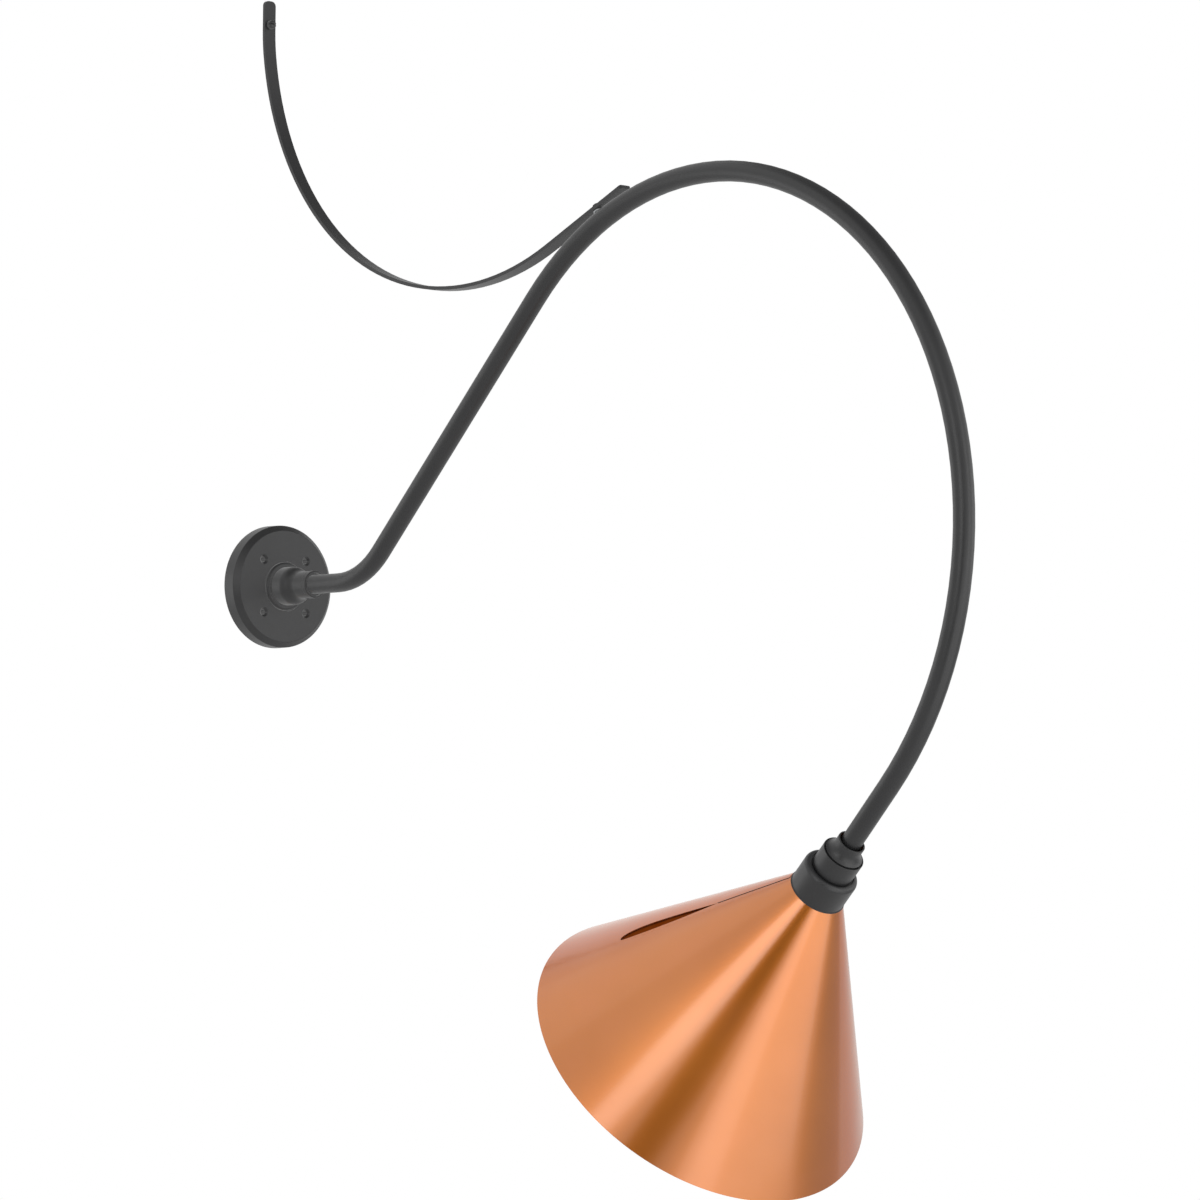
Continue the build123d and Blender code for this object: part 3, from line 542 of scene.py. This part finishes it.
# %% [markdown]
# The sheet's two ends lap. The upper end shows as a step of about half a sheet's thickness, fading into the
# cone; the lower end lies under it and is what the dark vent slot shows. A bump could draw the step, but it
# would have no edge of its own. Both ends follow the cone, so each is a section in two small lengths,
# across the seam and out from the face, carried down the slant.


# %% A strip down the cone
def lap_piece(name, top, bottom, upper, lower, stations=24):
    """A closed strip; upper and lower are the section's two faces, from the same edge."""
    section = upper + lower[::-1]
    work = bmesh.new()
    rings = []
    for station in range(stations + 1):
        slant = top + (bottom - top) * station / stations
        points = [on_cone(slant, SEAM_ANGLE + turn_across(slant, across), lift) for across, lift in section]
        rings.append([work.verts.new(point) for point in points])
    work.faces.new(rings[0])
    work.faces.new(rings[-1])
    for here, there in zip(rings, rings[1:]):
        for k in range(len(section)):
            n = (k + 1) % len(section)
            work.faces.new((here[k], here[n], there[n], there[k]))
    bmesh.ops.recalc_face_normals(work, faces=work.faces[:])
    return copper_piece(name, work)


# %% The sheet's lap
LAP_TOP, LAP_REACH, LAP_STEP, LAP_SUNK = 0.0468, 0.012, 0.00035, 0.00012
LAP_FADE = 0.7
UNDER_TOP, UNDER_END, UNDER_REACH = 0.100, 0.230, 0.017
UNDER_FACE, UNDER_BACK = -0.0012, -0.0018
UNDER_FACE_EDGE, UNDER_BACK_EDGE = -0.0007, -0.0009
steps = [k / 8 for k in range(9)]
lap_over = lap_piece(
    "lap_over", LAP_TOP, SEAM_END,
    [(LAP_REACH * s, LAP_STEP * (1 - s) ** LAP_FADE) for s in steps],
    [(LAP_REACH * s, -LAP_SUNK) for s in steps],
)
# Its face under the vent slot takes the copper finish's painted shade, a dark brown
lap_under = lap_piece(
    "lap_under", UNDER_TOP, UNDER_END,
    [(UNDER_REACH * (2 * s - 1), UNDER_FACE if 0 < s < 1 else UNDER_FACE_EDGE) for s in steps],
    [(UNDER_REACH * (2 * s - 1), UNDER_BACK if 0 < s < 1 else UNDER_BACK_EDGE) for s in steps],
)
print("lap pieces", lap_over.name, lap_under.name)

# %% [markdown]
# The studio begins with a white surround, as in the photograph. A bright world would also flood the part
# with light, so the world is full white only to the camera, to reflections and through glass, and lights
# the part at about half of that.


# %% Surround
def seen_by(tree, *kinds):
    """1 for the named kinds of ray and 0 for the light that falls on the part."""
    rays = tree.nodes.new("ShaderNodeLightPath")
    seen = Flow(tree, rays.outputs[kinds[0]])
    for kind in kinds[1:]:
        seen = seen.sum("MAXIMUM", seen, Flow(tree, rays.outputs[kind]))
    return seen


AMBIENT = 0.55
world = bpy.data.worlds.new("surround")
scene.world = world
world.use_nodes = True
surround = world.node_tree
backdrop = surround.nodes["Background"]
backdrop.inputs["Color"].default_value = (1, 1, 1, 1)
seen = seen_by(surround, "Is Camera Ray", "Is Glossy Ray", "Is Transmission Ray")
surround.links.new((AMBIENT + (1 - AMBIENT) * seen).socket, backdrop.inputs["Strength"])
print("surround lights at", AMBIENT)

# %% [markdown]
# The floor is a pale disc well below the light. To the camera and to reflections it is mostly a white glow,
# so it melts into the surround and still keeps a trace of shadow. Its underside is clear, because a view
# from below would otherwise see nothing else.

# %% Floor
FLOOR_RADIUS, FLOOR_HEIGHT, FLOOR_SIDES = 9.0, -1.35, 96
FLOOR_GREY, FLOOR_ROUGHNESS, FLOOR_GLOW = 0.86, 0.8, 0.8
turns = [2 * pi * k / FLOOR_SIDES for k in range(FLOOR_SIDES)]
rim = [(FLOOR_RADIUS * cos(t), FLOOR_RADIUS * sin(t), FLOOR_HEIGHT) for t in turns]
floor_mesh = bpy.data.meshes.new("floor")
floor_mesh.from_pydata(rim, [], [tuple(range(FLOOR_SIDES))])
floor = bpy.data.objects.new("floor", floor_mesh)
scene.collection.objects.link(floor)

floor_look = bpy.data.materials.new("pale_floor")
floor_look.use_nodes = True
tree = floor_look.node_tree
matt = tree.nodes["Principled BSDF"]
matt.inputs["Base Color"].default_value = (FLOOR_GREY, FLOOR_GREY, FLOOR_GREY, 1)
matt.inputs["Roughness"].default_value = FLOOR_ROUGHNESS
straight = seen_by(tree, "Is Camera Ray", "Is Glossy Ray")
glow = straight.node("ShaderNodeEmission")
clear = straight.node("ShaderNodeBsdfTransparent")
underside = Flow(tree, tree.nodes.new("ShaderNodeNewGeometry").outputs["Backfacing"])
pale = straight.node("ShaderNodeMixShader", {}, {
    0: FLOOR_GLOW * straight, 1: Flow(tree, matt.outputs[0]), 2: glow,
})
one_sided = straight.node("ShaderNodeMixShader", {}, {0: underside, 1: pale, 2: clear})
tree.links.new(one_sided.socket, tree.nodes["Material Output"].inputs["Surface"])
floor.data.materials.append(floor_look)
print("floor at", FLOOR_HEIGHT)

# %% [markdown]
# Copper is mostly reflection, so the lamps are placed by what the cone mirrors: each stands in a direction
# seen from the shade. Two of them give the bright streaks either side of the dark one, others lift the
# plate, the wall side and the cone's lower right. Point lamps would leave hard spots; rectangles give soft
# bands.

# %% Softboxes
SHADE_MIDDLE = CONE_TIP + head_axis * 0.14


def from_shade(azimuth, elevation, distance):
    """A place seen from the middle of the shade, by angles in degrees."""
    return SHADE_MIDDLE + direction(radians(azimuth), radians(elevation)) * distance


def softbox(name, azimuth, elevation, distance, width, height, radiance):
    """A soft lamp of a given brightness, whatever its size."""
    lamp = bpy.data.lights.new(name, "AREA")
    lamp.shape = "RECTANGLE"
    lamp.size, lamp.size_y = width, height
    lamp.energy = radiance * pi * width * height
    holder = bpy.data.objects.new(name, lamp)
    scene.collection.objects.link(holder)
    holder.location = from_shade(azimuth, elevation, distance)
    holder.rotation_mode = "QUATERNION"
    holder.rotation_quaternion = (SHADE_MIDDLE - holder.location).to_track_quat("-Z", "Y")
    holder.visible_camera = False
    return holder


# Each row: name, azimuth, elevation, distance, width, height, radiance
SOFTBOXES = (
    ("softbox_left", -66, 17, 2.6, 0.96, 1.5, 2.05),
    ("softbox_low", 5, -14, 1.45, 1.95, 1.2, 0.85),
    ("softbox_near_camera", -18, -22, 1.5, 0.40, 0.8, 0.60),
    ("softbox_right", 13, 17, 2.8, 0.9, 2.2, 1.8),
    ("softbox_wall_side", -150, 6, 2.4, 1.0, 1.2, 0.9),
    ("softbox_high", -142, 44, 2.6, 2.0, 1.4, 0.15),
    ("softbox_plate", 53, 13, 2.1, 1.0, 0.9, 1.3),
)
lamps = [softbox(*row) for row in SOFTBOXES]
print("softboxes", len(lamps))

# %% [markdown]
# In a white surround metal needs something dark to mirror. The card by the camera makes the dark streak
# down the cone, the two at the right darken its right side, and the others do the same for the strap and
# the top of the arm. Painted streaks would turn with the head, as real ones don't. Only reflections see the
# cards: they cast no shadow, and the camera looks through them.


# %% Cards
def card(name, azimuth, elevation, distance, width, height, level):
    """A flat card of one grey, facing the shade, that only reflections see."""
    mesh = bpy.data.meshes.new(name)
    x, y = width / 2, height / 2
    mesh.from_pydata([(-x, -y, 0), (x, -y, 0), (x, y, 0), (-x, y, 0)], [], [(0, 1, 2, 3)])
    panel = bpy.data.objects.new(name, mesh)
    scene.collection.objects.link(panel)
    centre = from_shade(azimuth, elevation, distance)
    facing = (SHADE_MIDDLE - centre).to_track_quat("Z", "Y").to_matrix().to_4x4()
    panel.matrix_world = Matrix.Translation(centre) @ facing
    look = bpy.data.materials.new(name)
    look.use_nodes = True
    grey = look.node_tree.nodes.new("ShaderNodeEmission")
    grey.inputs["Color"].default_value = (level, level, level, 1)
    look.node_tree.links.new(grey.outputs[0], look.node_tree.nodes["Material Output"].inputs["Surface"])
    mesh.materials.append(look)
    panel.visible_camera = False
    panel.visible_diffuse = False
    panel.visible_shadow = False
    panel.visible_transmission = False
    return panel


# Each row: name, azimuth, elevation, distance, width, height, grey level
CARDS = (
    ("card_camera", -46.5, -4, 3.6, 1.4, 3.0, 0.05),
    ("card_right", 67.5, -16, 1.6, 1.02, 0.95, 0.57),
    ("card_far_right", 115, -5, 3.4, 3.0, 3.0, 0.80),
    ("card_strap", 113, 58, 2.67, 2.2, 2.2, 0.32),
    ("card_above", -40, 85, 3.2, 3.2, 3.2, 0.40),
)
cards = [card(*row) for row in CARDS]
print("cards", len(cards))

# %% [markdown]
# A cone squeezes a wide view into a narrow strip, so the dark arm and plate behind the shade draw one hard
# line beside the slot. The photograph doesn't show that line, and why it doesn't isn't known. A rougher
# copper would blur every other band too, so these pieces are kept out of reflections instead. It is a
# setting of the render only: the copper and the plate mirror no bracket from any side.

# %% Reflections without the bracket
for name in ("gooseneck_arm", "wall_plate", "support_strap", "arm_lock_collar"):
    nodes[name].visible_glossy = False
print("left out of reflections", [name for name, solid in nodes.items() if not solid.visible_glossy])
